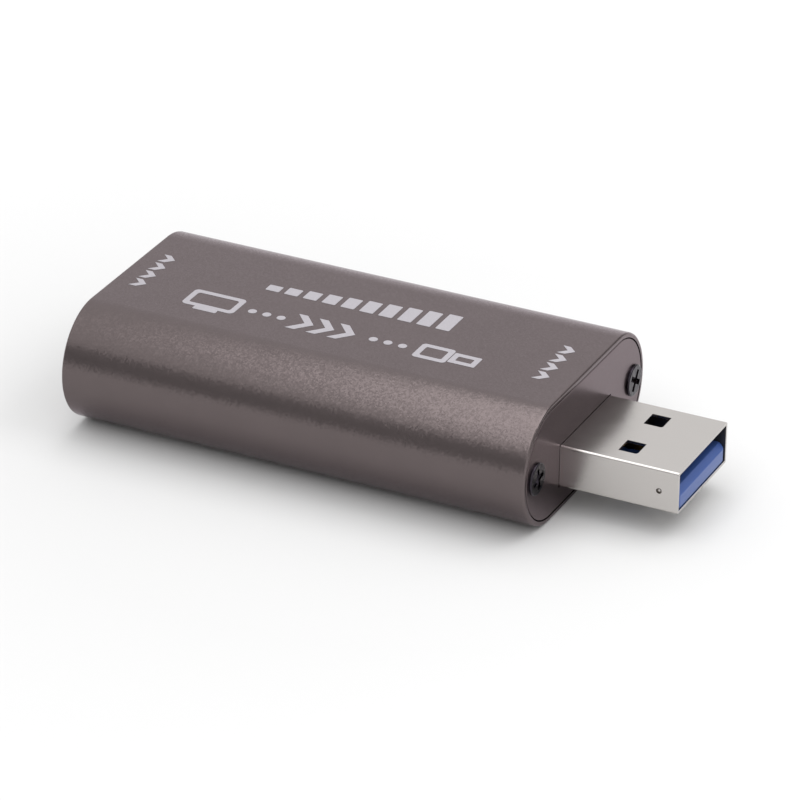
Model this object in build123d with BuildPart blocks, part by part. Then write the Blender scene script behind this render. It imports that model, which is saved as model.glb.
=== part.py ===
from build123d import *
import os

# Video capture box: an extruded aluminium shell with a plate screwed into each
# mouth, a circuit board between its side rails, a data plug at the output end
# and a video socket at the input end. Lengths are in millimetres. +X points
# out of the plug, +Z is up, and the origin lies under the middle of the box.

os.makedirs("parts", exist_ok=True)

# Body: its length, the room that it leaves round the board and the video
# socket, and how far the data plug stands out of it
body_length = 50.7
side_room = 6.9
under_board_room = 3.35
over_socket_room = 0.8
plug_reach = 12.5
cut_overrun = 1.0

# Shell: one extrusion with two side rails, both mouths milled for the plates
shell_wall = 1.2
rim_wall = 0.5
shell_edge_chamfer = 0.25
rail_reach = 3.8
rail_lip = 0.9
groove_depth = 0.7
channel_slot = 0.7

# End plates
plate_thickness = 1.5
plate_gap = 0.1
plate_bevel = 0.15
plug_hole_gap = 0.07
socket_hole_gap = 0.15

# Screws: thin pan heads with a cross recess that has a deeper pit in its middle
screw_inset = 2.7
screw_diameter = 1.6
screw_length = 6.0
screw_point = 0.4
screw_head_diameter = 3.3
screw_head_height = 0.3
screw_head_round = 0.15
screw_channel_gap = 0.05
screw_hole_gap = 0.15
recess_span = 2.0
recess_width = 0.5
recess_depth = 0.22
recess_pit_diameter = 1.0
recess_pit_depth = 0.8
recess_turns = (12, 58)  # degrees, as the driver left each screw

# Data plug: a folded steel shell round two insulators
plug_width = 12.0
plug_height = 4.5
plug_length = 18.0
plug_sheet = 0.3
plug_bend = 0.45
plug_fit = 0.03
window_length = 2.0
window_width = 2.25
window_spacing = 6.06
window_setback = 5.15
window_round = 0.3
dimple_radius = 0.3
dimple_depth = 0.15
dimple_setback = 2.0
dimple_drop = 0.1
tab_length = 3.0
tab_height = 2.4
tongue_setback = 0.05
tongue_corner = 0.5
tongue_bevel_drop = 0.5
tongue_bevel_back = 0.6
rear_block_length = 6.0

# Plug contacts: four flat ones in the tongue, five sprung ones behind them
contact_sheet = 0.2
contact_gap = 0.05
flat_contact_width = 1.0
flat_outer_spacing = 7.0
flat_inner_spacing = 2.0
flat_outer_setback = 1.6
flat_inner_setback = 2.6
jog_length = 0.6
jog_inset = 1.2
tail_length = 1.8
spring_count = 5
spring_pitch = 2.0
spring_width = 0.6
spring_lead = 0.4
spring_run = 1.3
spring_rise = 0.45
spring_dip = 0.3
spring_round = 0.3

# Circuit board
board_thickness = 1.0
board_gap = 0.05
board_side_gap = 0.1
board_end_gap = 0.2
slot_gap = 0.1

# Video socket: a steel shell round a plastic body with a central tongue
socket_width = 14.6
socket_height = 5.15
socket_length = 11.2
socket_sheet = 0.3
socket_bevel_width = 1.5
socket_bevel_height = 1.6
socket_bend = 0.45
socket_setback = 0.3
socket_fit = 0.05
socket_block_length = 5.0
socket_tongue_width = 11.0
socket_tongue_thickness = 1.5
socket_tongue_setback = 1.5
leg_width = 1.5
leg_reach = 0.4
leg_inset = 2.2
leg_spacing = 5.6
finger_width = 1.6
finger_length = 3.2
finger_slit = 0.3
finger_setback = 1.2
finger_spacing = 6.4
pin_pitch = 1.0
pin_width = 0.3
pin_setback = 0.5
pin_gap = 0.04
pin_drop_gap = 0.2
pin_foot = 1.0
upper_pin_count = 10
lower_pin_count = 9

# Chips and small parts on the board's upper side
lead_sheet = 0.15
lead_foot = 0.5
chip_stand_off = 0.1
chip_edge = 0.2
capture_side = 7.0
capture_height = 1.3
capture_span = 9.0
capture_pitch = 0.5
capture_lead_width = 0.22
capture_leads_per_side = 12
memory_length = 4.9
memory_width = 3.9
memory_height = 1.3
memory_span = 6.0
memory_pitch = 1.27
memory_lead_width = 0.42
memory_leads_per_side = 4
regulator_length = 2.9
regulator_width = 1.6
regulator_height = 1.0
regulator_span = 2.8
regulator_pitch = 0.95
regulator_lead_width = 0.4
surge_length = 2.5
surge_width = 1.0
surge_height = 0.5
surge_pad = 0.3
crystal_length = 3.2
crystal_width = 2.5
crystal_base = 0.4
crystal_lid = 0.35
crystal_ledge = 0.15
inductor_side = 3.0
inductor_height = 1.5
inductor_corner = 0.6
chip_part_length = 1.6
chip_part_width = 0.8
end_cap = 0.3
end_cap_lap = 0.03
capacitor_height = 0.8
resistor_height = 0.45

# Places on the board: the least gap between neighbours, where the capture chip
# stands along the clear bay, and places across as shares of the half width
# between the rails
part_gap = 0.5
capture_along_share = 0.4
crystal_across_share = 0.18
memory_across_share = -0.42
power_across_share = 0.68
surge_across_share = 0.36
corner_across_share = 0.82
output_across_shares = (0.14, 0.34)
row_count = 4

# Levels and stations that several pieces share. The input end's screw heads
# and the plug's tip are the two ends of the whole box.
body_width = socket_width + 2 * side_room
board_bottom_z = shell_wall + under_board_room
board_top_z = board_bottom_z + board_thickness
body_height = board_top_z + socket_height + over_socket_room + shell_wall
overall_length = screw_head_height + body_length + plug_reach
input_face_x = screw_head_height - overall_length / 2
output_face_x = input_face_x + body_length
body_middle_x = (input_face_x + output_face_x) / 2
plug_tip_x = output_face_x + plug_reach
plug_rear_x = plug_tip_x - plug_length
middle_z = body_height / 2
plug_z = (board_bottom_z + board_top_z) / 2
screw_y = body_width / 2 - screw_inset
screw_places = ((-screw_y, middle_z), (screw_y, middle_z))

# Shell: the cavity's section leaves two rails, each with a board groove and a
# screw channel that is open to the inside by a narrow slot
cavity_width = body_width - 2 * shell_wall
cavity_height = body_height - 2 * shell_wall
mouth_width = body_width - 2 * rim_wall
mouth_height = body_height - 2 * rim_wall
channel_radius = screw_diameter / 2 + screw_channel_gap
rail_face_y = cavity_width / 2 - rail_reach
rail_bottom_z = board_bottom_z - board_gap - rail_lip
rail_top_z = middle_z + channel_radius + rail_lip
rail_height = rail_top_z - rail_bottom_z
rail_width = body_width / 2 - rail_face_y
rail_places = (
    (-rail_face_y - rail_width / 2, rail_bottom_z + rail_height / 2),
    (rail_face_y + rail_width / 2, rail_bottom_z + rail_height / 2),
)

with BuildPart() as shell:
    with BuildSketch(Plane.YZ.offset(input_face_x)):
        with Locations((0, middle_z)):
            SlotOverall(body_width, body_height)
    extrude(amount=body_length)
    end_faces = shell.faces().sort_by(Axis.X)
    chamfer(end_faces[0].edges() + end_faces[-1].edges(), length=shell_edge_chamfer)
    with BuildSketch(Plane.YZ.offset(input_face_x)):
        with Locations((0, middle_z)):
            SlotOverall(cavity_width, cavity_height)
        with Locations(*rail_places):
            Rectangle(rail_width, rail_height, mode=Mode.SUBTRACT)
        with Locations((0, plug_z)):
            Rectangle(2 * (rail_face_y + groove_depth), board_thickness + 2 * board_gap)
        with Locations((0, middle_z)):
            Rectangle(2 * screw_y, channel_slot)
        with Locations(*screw_places):
            Circle(channel_radius)
    extrude(amount=body_length, mode=Mode.SUBTRACT)
    with BuildSketch(
        Plane.YZ.offset(input_face_x), Plane.YZ.offset(output_face_x - plate_thickness)
    ):
        with Locations((0, middle_z)):
            SlotOverall(mouth_width, mouth_height)
    extrude(amount=plate_thickness, mode=Mode.SUBTRACT)

shell.part.label = "shell"
export_step(shell.part, "parts/shell.step")

# End plates: they lie flush in the mouths, on the shoulders of the shell
plate_width = mouth_width - 2 * plate_gap
plate_height = mouth_height - 2 * plate_gap
plate_hole_radius = screw_diameter / 2 + screw_hole_gap

with BuildPart() as output_end_plate:
    with BuildSketch(Plane.YZ.offset(output_face_x - plate_thickness)):
        with Locations((0, middle_z)):
            SlotOverall(plate_width, plate_height)
    extrude(amount=plate_thickness)
    chamfer(output_end_plate.faces().sort_by(Axis.X)[-1].edges(), length=plate_bevel)
    with BuildSketch(Plane.YZ.offset(output_face_x)):
        with Locations((0, plug_z)):
            Rectangle(plug_width + 2 * plug_hole_gap, plug_height + 2 * plug_hole_gap)
        with Locations(*screw_places):
            Circle(plate_hole_radius)
    extrude(amount=-plate_thickness, mode=Mode.SUBTRACT)

output_end_plate.part.label = "output_end_plate"
export_step(output_end_plate.part, "parts/output_end_plate.step")

# Outline of the video socket's shell, wide at the top and bevelled below, seen
# along X, with its foot on the board
socket_half_width = socket_width / 2

with BuildSketch() as socket_outline:
    with BuildLine():
        Polyline(
            (socket_bevel_width - socket_half_width, board_top_z),
            (socket_half_width - socket_bevel_width, board_top_z),
            (socket_half_width, board_top_z + socket_bevel_height),
            (socket_half_width, board_top_z + socket_height),
            (-socket_half_width, board_top_z + socket_height),
            (-socket_half_width, board_top_z + socket_bevel_height),
            close=True,
        )
    make_face()
    fillet(socket_outline.vertices(), radius=socket_bend)

with BuildPart() as input_end_plate:
    with BuildSketch(Plane.YZ.offset(input_face_x)):
        with Locations((0, middle_z)):
            SlotOverall(plate_width, plate_height)
    extrude(amount=plate_thickness)
    chamfer(input_end_plate.faces().sort_by(Axis.X)[0].edges(), length=plate_bevel)
    with BuildSketch(Plane.YZ.offset(input_face_x)):
        add(socket_outline.sketch)
        offset(amount=socket_hole_gap)
        with Locations(*screw_places):
            Circle(plate_hole_radius)
    extrude(amount=plate_thickness, mode=Mode.SUBTRACT)

input_end_plate.part.label = "input_end_plate"
export_step(input_end_plate.part, "parts/input_end_plate.step")

# Screws: two at the output end, and the same two mirrored at the input end
with BuildPart(Plane.YZ.offset(output_face_x)) as output_end_screws:
    with Locations(*screw_places):
        Cylinder(
            screw_head_diameter / 2,
            screw_head_height,
            align=(Align.CENTER, Align.CENTER, Align.MIN),
        )
    fillet(
        output_end_screws.edges().filter_by(GeomType.CIRCLE).group_by(Axis.X)[-1],
        radius=screw_head_round,
    )
    with Locations(*screw_places):
        Cylinder(
            screw_diameter / 2,
            screw_length,
            align=(Align.CENTER, Align.CENTER, Align.MAX),
        )
    chamfer(
        output_end_screws.edges().filter_by(GeomType.CIRCLE).group_by(Axis.X)[0],
        length=screw_point,
    )
    with BuildSketch(Plane.YZ.offset(output_face_x + screw_head_height)):
        for screw_place, recess_turn in zip(screw_places, recess_turns):
            with Locations(screw_place):
                Rectangle(recess_span, recess_width, rotation=recess_turn)
                Rectangle(recess_width, recess_span, rotation=recess_turn)
    extrude(amount=-recess_depth, mode=Mode.SUBTRACT)
    with BuildSketch(Plane.YZ.offset(output_face_x + screw_head_height)):
        with Locations(*screw_places):
            Circle(recess_pit_diameter / 2)
    extrude(amount=-recess_pit_depth, mode=Mode.SUBTRACT)

output_end_screws.part.label = "output_end_screws"
export_step(output_end_screws.part, "parts/output_end_screws.step")

with BuildPart() as input_end_screws:
    add(output_end_screws.part)
    mirror(about=Plane.YZ.offset(body_middle_x), mode=Mode.REPLACE)

input_end_screws.part.label = "input_end_screws"
export_step(input_end_screws.part, "parts/input_end_screws.step")

# Plug shell: a folded tube with windows in both broad faces, a dimple in each
# side, and two tabs that run back through slots in the board
window_x = plug_tip_x - window_setback - window_length / 2
tab_y = (plug_width - plug_sheet) / 2
dimple_ball = (dimple_radius**2 + dimple_depth**2) / (2 * dimple_depth)
dimple_y = plug_width / 2 - dimple_depth + dimple_ball
dimple_x = plug_tip_x - dimple_setback
dimple_z = plug_z - dimple_drop

with BuildPart() as plug_shell:
    with BuildSketch(Plane.YZ.offset(plug_rear_x)):
        with Locations((0, plug_z)):
            RectangleRounded(plug_width, plug_height, plug_bend)
            RectangleRounded(
                plug_width - 2 * plug_sheet,
                plug_height - 2 * plug_sheet,
                plug_bend - plug_sheet,
                mode=Mode.SUBTRACT,
            )
    extrude(amount=plug_length)
    with BuildSketch(Plane.XY.offset(plug_z)) as window_section:
        with Locations((window_x, -window_spacing / 2), (window_x, window_spacing / 2)):
            Rectangle(window_length, window_width)
        front_corners = window_section.vertices().group_by(Axis.X)[-1].sort_by(Axis.Y)
        fillet((front_corners[0], front_corners[2]), radius=window_round)
    extrude(amount=plug_height, both=True, mode=Mode.SUBTRACT)
    with Locations((dimple_x, -dimple_y, dimple_z), (dimple_x, dimple_y, dimple_z)):
        Sphere(dimple_ball, mode=Mode.SUBTRACT)
    with Locations((plug_rear_x, -tab_y, plug_z), (plug_rear_x, tab_y, plug_z)):
        Box(
            tab_length,
            plug_sheet,
            tab_height,
            align=(Align.MAX, Align.CENTER, Align.CENTER),
        )

plug_shell.part.label = "plug_shell"
export_step(plug_shell.part, "parts/plug_shell.step")

# Plug insulators: the tongue fills the lower half of the plug, and the rear
# block closes the upper half behind the space that a socket's tongue fills
insulator_width = plug_width - 2 * (plug_sheet + plug_fit)
insulator_bottom_z = plug_z - plug_height / 2 + plug_sheet + plug_fit
insulator_top_z = plug_z + plug_height / 2 - plug_sheet - plug_fit
insulator_corner = plug_bend - plug_sheet
tongue_front_x = plug_tip_x - tongue_setback
rear_block_front_x = plug_rear_x + rear_block_length
flat_contact_z = plug_z - contact_sheet / 2
flat_tail_z = board_bottom_z - contact_sheet / 2
jog_x = plug_rear_x + jog_inset
tail_end_x = plug_rear_x - board_end_gap - tail_length
outer_pad_x = plug_tip_x - flat_outer_setback
inner_pad_x = plug_tip_x - flat_inner_setback
flat_contact_places = (
    (-flat_outer_spacing / 2, outer_pad_x),
    (-flat_inner_spacing / 2, inner_pad_x),
    (flat_inner_spacing / 2, inner_pad_x),
    (flat_outer_spacing / 2, outer_pad_x),
)

with BuildPart() as plug_tongue:
    with BuildSketch(Plane.XY.offset(insulator_bottom_z)) as tongue_plan:
        with Locations((plug_rear_x, 0)):
            Rectangle(
                tongue_front_x - plug_rear_x,
                insulator_width,
                align=(Align.MIN, Align.CENTER),
            )
        fillet(tongue_plan.vertices().group_by(Axis.X)[-1], radius=tongue_corner)
    extrude(amount=plug_z - insulator_bottom_z)
    chamfer(
        plug_tongue.edges().filter_by(Axis.X).group_by(Axis.Z)[0], length=insulator_corner
    )
    with BuildSketch(Plane.XZ):
        with BuildLine():
            Polyline(
                (tongue_front_x, plug_z),
                (tongue_front_x - tongue_bevel_back, plug_z),
                (tongue_front_x, plug_z - tongue_bevel_drop),
                close=True,
            )
        make_face()
    extrude(amount=plug_width, both=True, mode=Mode.SUBTRACT)
    for contact_y, pad_x in flat_contact_places:
        with Locations((plug_rear_x, contact_y, plug_z)):
            Box(
                pad_x + contact_gap - plug_rear_x,
                flat_contact_width + 2 * contact_gap,
                contact_sheet,
                align=(Align.MIN, Align.CENTER, Align.MAX),
                mode=Mode.SUBTRACT,
            )
            Box(
                jog_inset + jog_length + contact_sheet,
                flat_contact_width + 2 * contact_gap,
                plug_z - flat_tail_z + contact_sheet / 2 + contact_gap,
                align=(Align.MIN, Align.CENTER, Align.MAX),
                mode=Mode.SUBTRACT,
            )

plug_tongue.part.label = "plug_tongue"
export_step(plug_tongue.part, "parts/plug_tongue.step")

spring_z = board_top_z + contact_sheet / 2
spring_first_y = -(spring_count - 1) * spring_pitch / 2

with BuildPart() as plug_rear_block:
    with Locations((plug_rear_x, 0, plug_z)):
        Box(
            rear_block_length,
            insulator_width,
            insulator_top_z - plug_z,
            align=(Align.MIN, Align.CENTER, Align.MIN),
        )
    chamfer(
        plug_rear_block.edges().filter_by(Axis.X).group_by(Axis.Z)[-1],
        length=insulator_corner,
    )
    for spring_number in range(spring_count):
        with Locations((plug_rear_x, spring_first_y + spring_number * spring_pitch, spring_z)):
            Box(
                rear_block_length,
                spring_width + 2 * contact_gap,
                contact_sheet + 2 * contact_gap,
                align=(Align.MIN, Align.CENTER, Align.CENTER),
                mode=Mode.SUBTRACT,
            )

plug_rear_block.part.label = "plug_rear_block"
export_step(plug_rear_block.part, "parts/plug_rear_block.step")

# Plug contacts: bent strips, soldered under and over the board's front edge
with BuildPart() as plug_flat_contacts:
    for contact_y, pad_x in flat_contact_places:
        with BuildSketch(Plane.XZ.offset(-contact_y)):
            with BuildLine():
                Polyline(
                    (pad_x, flat_contact_z),
                    (jog_x + jog_length, flat_contact_z),
                    (jog_x, flat_tail_z),
                    (tail_end_x, flat_tail_z),
                )
            trace(line_width=contact_sheet)
        extrude(amount=flat_contact_width / 2, both=True)

plug_flat_contacts.part.label = "plug_flat_contacts"
export_step(plug_flat_contacts.part, "parts/plug_flat_contacts.step")

with BuildPart() as plug_spring_contacts:
    for spring_number in range(spring_count):
        spring_y = spring_first_y + spring_number * spring_pitch
        with BuildSketch(Plane.XZ.offset(-spring_y)):
            with BuildLine():
                FilletPolyline(
                    (tail_end_x, spring_z),
                    (rear_block_front_x + spring_lead, spring_z),
                    (rear_block_front_x + spring_lead + spring_run, spring_z + spring_rise),
                    (rear_block_front_x + spring_lead + 2 * spring_run, spring_z - spring_dip),
                    radius=spring_round,
                )
            trace(line_width=contact_sheet)
        extrude(amount=spring_width / 2, both=True)

plug_spring_contacts.part.label = "plug_spring_contacts"
export_step(plug_spring_contacts.part, "parts/plug_spring_contacts.step")

# Circuit board: it fills the rails' grooves from plate to plate, with a notch
# round the plug, slots for the plug's tabs and slots for the socket's legs
board_rear_x = input_face_x + plate_thickness + board_end_gap
board_front_x = output_face_x - plate_thickness - board_end_gap
board_width = 2 * (rail_face_y + groove_depth - board_side_gap)
notch_x = plug_rear_x - board_end_gap
notch_width = plug_width + 2 * slot_gap
socket_mouth_x = input_face_x + socket_setback
socket_rear_x = socket_mouth_x + socket_length
leg_y = socket_half_width - socket_sheet / 2
leg_xs = (socket_mouth_x + leg_inset, socket_mouth_x + leg_inset + leg_spacing)
leg_places = [(leg_x, side * leg_y) for leg_x in leg_xs for side in (-1, 1)]

with BuildPart() as main_board:
    with BuildSketch(Plane.XY.offset(board_bottom_z)):
        with Locations((board_rear_x, 0)):
            Rectangle(
                board_front_x - board_rear_x, board_width, align=(Align.MIN, Align.CENTER)
            )
        with Locations((notch_x, 0)):
            Rectangle(
                board_front_x - notch_x + cut_overrun,
                notch_width,
                align=(Align.MIN, Align.CENTER),
                mode=Mode.SUBTRACT,
            )
        with Locations((plug_rear_x, -tab_y), (plug_rear_x, tab_y)):
            Rectangle(
                tab_length + slot_gap,
                plug_sheet + 2 * slot_gap,
                align=(Align.MAX, Align.CENTER),
                mode=Mode.SUBTRACT,
            )
        with Locations(*leg_places):
            Rectangle(
                leg_width + 2 * slot_gap, socket_sheet + 2 * slot_gap, mode=Mode.SUBTRACT
            )
    extrude(amount=board_thickness)

main_board.part.label = "main_board"
export_step(main_board.part, "parts/main_board.step")

# Socket shell: a folded tube with spring fingers cut in its top and bottom and
# four legs that go down through the board
finger_x = socket_mouth_x + finger_setback
finger_y = finger_spacing / 2

with BuildPart() as socket_shell:
    with BuildSketch(Plane.YZ.offset(socket_mouth_x)):
        add(socket_outline.sketch)
        offset(amount=-socket_sheet, mode=Mode.SUBTRACT)
    extrude(amount=socket_length)
    with BuildSketch(Plane.XY.offset(board_top_z)):
        with Locations((finger_x, -finger_y), (finger_x, finger_y)):
            Rectangle(
                finger_length + finger_slit,
                finger_width + 2 * finger_slit,
                align=(Align.MIN, Align.CENTER),
            )
        with Locations((finger_x + finger_slit, -finger_y), (finger_x + finger_slit, finger_y)):
            Rectangle(
                finger_length,
                finger_width,
                align=(Align.MIN, Align.CENTER),
                mode=Mode.SUBTRACT,
            )
    extrude(amount=socket_height, mode=Mode.SUBTRACT)
    with Locations(*[(x, y, board_bottom_z - leg_reach) for x, y in leg_places]):
        Box(
            leg_width,
            socket_sheet,
            leg_reach + board_thickness + socket_height / 2,
            align=(Align.CENTER, Align.CENTER, Align.MIN),
        )

socket_shell.part.label = "socket_shell"
export_step(socket_shell.part, "parts/socket_shell.step")

# Socket body: a block across the shell's rear with a tongue towards the mouth,
# and a channel for each contact
opening_height = socket_height - 2 * socket_sheet
socket_tongue_z = board_top_z + socket_sheet + opening_height / 2
upper_pin_z = socket_tongue_z + socket_tongue_thickness / 2 - contact_sheet / 2
lower_pin_z = socket_tongue_z - socket_tongue_thickness / 2 + contact_sheet / 2
socket_tongue_x = socket_mouth_x + socket_tongue_setback
pin_front_x = socket_tongue_x + pin_setback
pin_drop_x = socket_rear_x + pin_drop_gap + contact_sheet / 2
pin_end_x = pin_drop_x + pin_foot
pin_foot_z = board_top_z + contact_sheet / 2
upper_first_y = -(upper_pin_count - 1) * pin_pitch / 2
lower_first_y = -(lower_pin_count - 1) * pin_pitch / 2
upper_pin_ys = [upper_first_y + number * pin_pitch for number in range(upper_pin_count)]
lower_pin_ys = [lower_first_y + number * pin_pitch for number in range(lower_pin_count)]
channel_width = pin_width + 2 * pin_gap
channel_height = contact_sheet + pin_gap

with BuildPart() as socket_body:
    with BuildSketch(Plane.YZ.offset(socket_rear_x - socket_block_length)):
        add(socket_outline.sketch)
        offset(amount=-(socket_sheet + socket_fit))
    extrude(amount=socket_block_length)
    with Locations((socket_tongue_x, 0, socket_tongue_z)):
        Box(
            socket_rear_x - socket_tongue_x,
            socket_tongue_width,
            socket_tongue_thickness,
            align=(Align.MIN, Align.CENTER, Align.CENTER),
        )
    with Locations(*[(pin_front_x, y, upper_pin_z - contact_sheet / 2) for y in upper_pin_ys]):
        Box(
            socket_length,
            channel_width,
            channel_height,
            align=(Align.MIN, Align.CENTER, Align.MIN),
            mode=Mode.SUBTRACT,
        )
    with Locations(*[(pin_front_x, y, lower_pin_z + contact_sheet / 2) for y in lower_pin_ys]):
        Box(
            socket_length,
            channel_width,
            channel_height,
            align=(Align.MIN, Align.CENTER, Align.MAX),
            mode=Mode.SUBTRACT,
        )

socket_body.part.label = "socket_body"
export_step(socket_body.part, "parts/socket_body.step")

# Socket contacts: along the tongue, through the block, down to the board
with BuildPart() as socket_upper_contacts:
    for pin_y in upper_pin_ys:
        with BuildSketch(Plane.XZ.offset(-pin_y)):
            with BuildLine():
                Polyline(
                    (pin_front_x, upper_pin_z),
                    (pin_drop_x, upper_pin_z),
                    (pin_drop_x, pin_foot_z),
                    (pin_end_x, pin_foot_z),
                )
            trace(line_width=contact_sheet)
        extrude(amount=pin_width / 2, both=True)

socket_upper_contacts.part.label = "socket_upper_contacts"
export_step(socket_upper_contacts.part, "parts/socket_upper_contacts.step")

with BuildPart() as socket_lower_contacts:
    for pin_y in lower_pin_ys:
        with BuildSketch(Plane.XZ.offset(-pin_y)):
            with BuildLine():
                Polyline(
                    (pin_front_x, lower_pin_z),
                    (pin_drop_x, lower_pin_z),
                    (pin_drop_x, pin_foot_z),
                    (pin_end_x, pin_foot_z),
                )
            trace(line_width=contact_sheet)
        extrude(amount=pin_width / 2, both=True)

socket_lower_contacts.part.label = "socket_lower_contacts"
export_step(socket_lower_contacts.part, "parts/socket_lower_contacts.step")

# Clear bay on the board, between the socket's contact feet and the plug's tabs.
# The chip stands in the bay, small parts line its sides, the surge arrays
# stand behind the socket, and the power parts stand before the plug.
bay_start_x = pin_end_x
bay_end_x = plug_rear_x - tab_length
capture_x = bay_start_x + capture_along_share * (bay_end_x - bay_start_x)
crystal_x = capture_x + capture_span / 2 + part_gap + crystal_length / 2
memory_x = bay_end_x - part_gap - memory_length / 2
regulator_x = bay_end_x - part_gap - regulator_length / 2
inductor_x = regulator_x - regulator_length / 2 - part_gap - inductor_side / 2
surge_x = bay_start_x + part_gap + surge_width / 2 + surge_pad
corner_x = bay_start_x + part_gap + chip_part_length / 2
corner_y = corner_across_share * rail_face_y
row_y = capture_span / 2 + part_gap + chip_part_width / 2
row_pitch = chip_part_length + part_gap
row_xs = [capture_x + (number - (row_count - 1) / 2) * row_pitch for number in range(row_count)]
capture_place = (capture_x, 0, board_top_z)
crystal_place = (crystal_x, crystal_across_share * rail_face_y, board_top_z)
memory_place = (memory_x, memory_across_share * rail_face_y, board_top_z)
regulator_place = (regulator_x, power_across_share * rail_face_y, board_top_z)
inductor_place = (inductor_x, power_across_share * rail_face_y, board_top_z)
surge_places = [
    (surge_x, side * surge_across_share * rail_face_y, board_top_z) for side in (-1, 1)
]
capacitor_places = [(corner_x, -corner_y, board_top_z)]
capacitor_places += [(row_x, row_y, board_top_z) for row_x in row_xs]
capacitor_places += [
    (regulator_x, across_share * rail_face_y, board_top_z)
    for across_share in output_across_shares
]
resistor_places = [(corner_x, corner_y, board_top_z)]
resistor_places += [(row_x, -row_y, board_top_z) for row_x in row_xs]


def gull_lead(package_edge, foot_edge, shoulder_z, width):
    """One bent lead along +X, from inside the package to the end of its foot."""
    with BuildPart() as lead:
        with BuildSketch(Plane.XZ):
            with BuildLine():
                Polyline(
                    (package_edge - lead_sheet, shoulder_z),
                    (package_edge + lead_sheet, shoulder_z),
                    (foot_edge - lead_foot, lead_sheet / 2),
                    (foot_edge, lead_sheet / 2),
                )
            trace(line_width=lead_sheet)
        extrude(amount=width / 2, both=True)
    return lead.part


# Capture chip: a square package with leads on four sides
capture_lead = gull_lead(
    capture_side / 2,
    capture_span / 2,
    chip_stand_off + capture_height / 2,
    capture_lead_width,
)

with BuildPart() as capture_chip:
    with Locations(capture_place):
        with Locations((0, 0, chip_stand_off)):
            Box(
                capture_side,
                capture_side,
                capture_height,
                align=(Align.CENTER, Align.CENTER, Align.MIN),
            )
        chamfer(capture_chip.edges().group_by(Axis.Z)[-1], length=chip_edge)
        with PolarLocations(0, 4):
            with GridLocations(0, capture_pitch, 1, capture_leads_per_side):
                add(capture_lead)

capture_chip.part.label = "capture_chip"
export_step(capture_chip.part, "parts/capture_chip.step")

# Memory chip: a narrow package with leads on two sides
memory_lead = gull_lead(
    memory_width / 2,
    memory_span / 2,
    chip_stand_off + memory_height / 2,
    memory_lead_width,
)

with BuildPart() as memory_chip:
    with Locations(memory_place):
        with Locations((0, 0, chip_stand_off)):
            Box(
                memory_length,
                memory_width,
                memory_height,
                align=(Align.CENTER, Align.CENTER, Align.MIN),
            )
        chamfer(memory_chip.edges().group_by(Axis.Z)[-1], length=chip_edge)
        with PolarLocations(0, 2, start_angle=90):
            with GridLocations(0, memory_pitch, 1, memory_leads_per_side):
                add(memory_lead)

memory_chip.part.label = "memory_chip"
export_step(memory_chip.part, "parts/memory_chip.step")

# Voltage regulator: two leads on one side and one on the other
regulator_lead = gull_lead(
    regulator_width / 2,
    regulator_span / 2,
    chip_stand_off + regulator_height / 2,
    regulator_lead_width,
)

with BuildPart() as voltage_regulator:
    with Locations(regulator_place):
        with Locations((0, 0, chip_stand_off)):
            Box(
                regulator_length,
                regulator_width,
                regulator_height,
                align=(Align.CENTER, Align.CENTER, Align.MIN),
            )
        chamfer(voltage_regulator.edges().group_by(Axis.Z)[-1], length=chip_edge)
        with PolarLocations(0, 1, start_angle=90):
            add(regulator_lead)
        with PolarLocations(0, 1, start_angle=-90):
            with GridLocations(0, 2 * regulator_pitch, 1, 2):
                add(regulator_lead)

voltage_regulator.part.label = "voltage_regulator"
export_step(voltage_regulator.part, "parts/voltage_regulator.step")

# Crystal: a ceramic tray under a narrower metal lid
with BuildPart() as crystal:
    with Locations(crystal_place):
        Box(
            crystal_length,
            crystal_width,
            crystal_base,
            align=(Align.CENTER, Align.CENTER, Align.MIN),
        )
        with Locations((0, 0, crystal_base)):
            Box(
                crystal_length - 2 * crystal_ledge,
                crystal_width - 2 * crystal_ledge,
                crystal_lid,
                align=(Align.CENTER, Align.CENTER, Align.MIN),
            )
    fillet(crystal.edges().group_by(Axis.Z)[-1], radius=crystal_ledge)

crystal.part.label = "crystal"
export_step(crystal.part, "parts/crystal.step")

# Power inductor: a square moulded coil with cut corners
with BuildPart() as power_inductor:
    with Locations(inductor_place):
        Box(
            inductor_side,
            inductor_side,
            inductor_height,
            align=(Align.CENTER, Align.CENTER, Align.MIN),
        )
    chamfer(power_inductor.edges().filter_by(Axis.Z), length=inductor_corner)

power_inductor.part.label = "power_inductor"
export_step(power_inductor.part, "parts/power_inductor.step")

# Surge arrays: two flat packages behind the socket, on low solder pads
with BuildPart() as surge_arrays:
    with Locations(*surge_places):
        Box(
            surge_width,
            surge_length,
            surge_height,
            align=(Align.CENTER, Align.CENTER, Align.MIN),
        )
        Box(
            surge_width + 2 * surge_pad,
            surge_length - 2 * surge_pad,
            lead_sheet,
            align=(Align.CENTER, Align.CENTER, Align.MIN),
        )

surge_arrays.part.label = "surge_arrays"
export_step(surge_arrays.part, "parts/surge_arrays.step")

# Capacitors and resistors: small blocks with a metal cap at each end
cap_shift = (chip_part_length - end_cap) / 2

with BuildPart() as ceramic_capacitors:
    with Locations(*capacitor_places):
        Box(
            chip_part_length - end_cap,
            chip_part_width - 2 * end_cap_lap,
            capacitor_height - end_cap_lap,
            align=(Align.CENTER, Align.CENTER, Align.MIN),
        )
        with Locations((-cap_shift, 0), (cap_shift, 0)):
            Box(
                end_cap,
                chip_part_width,
                capacitor_height,
                align=(Align.CENTER, Align.CENTER, Align.MIN),
            )

ceramic_capacitors.part.label = "ceramic_capacitors"
export_step(ceramic_capacitors.part, "parts/ceramic_capacitors.step")

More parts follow.
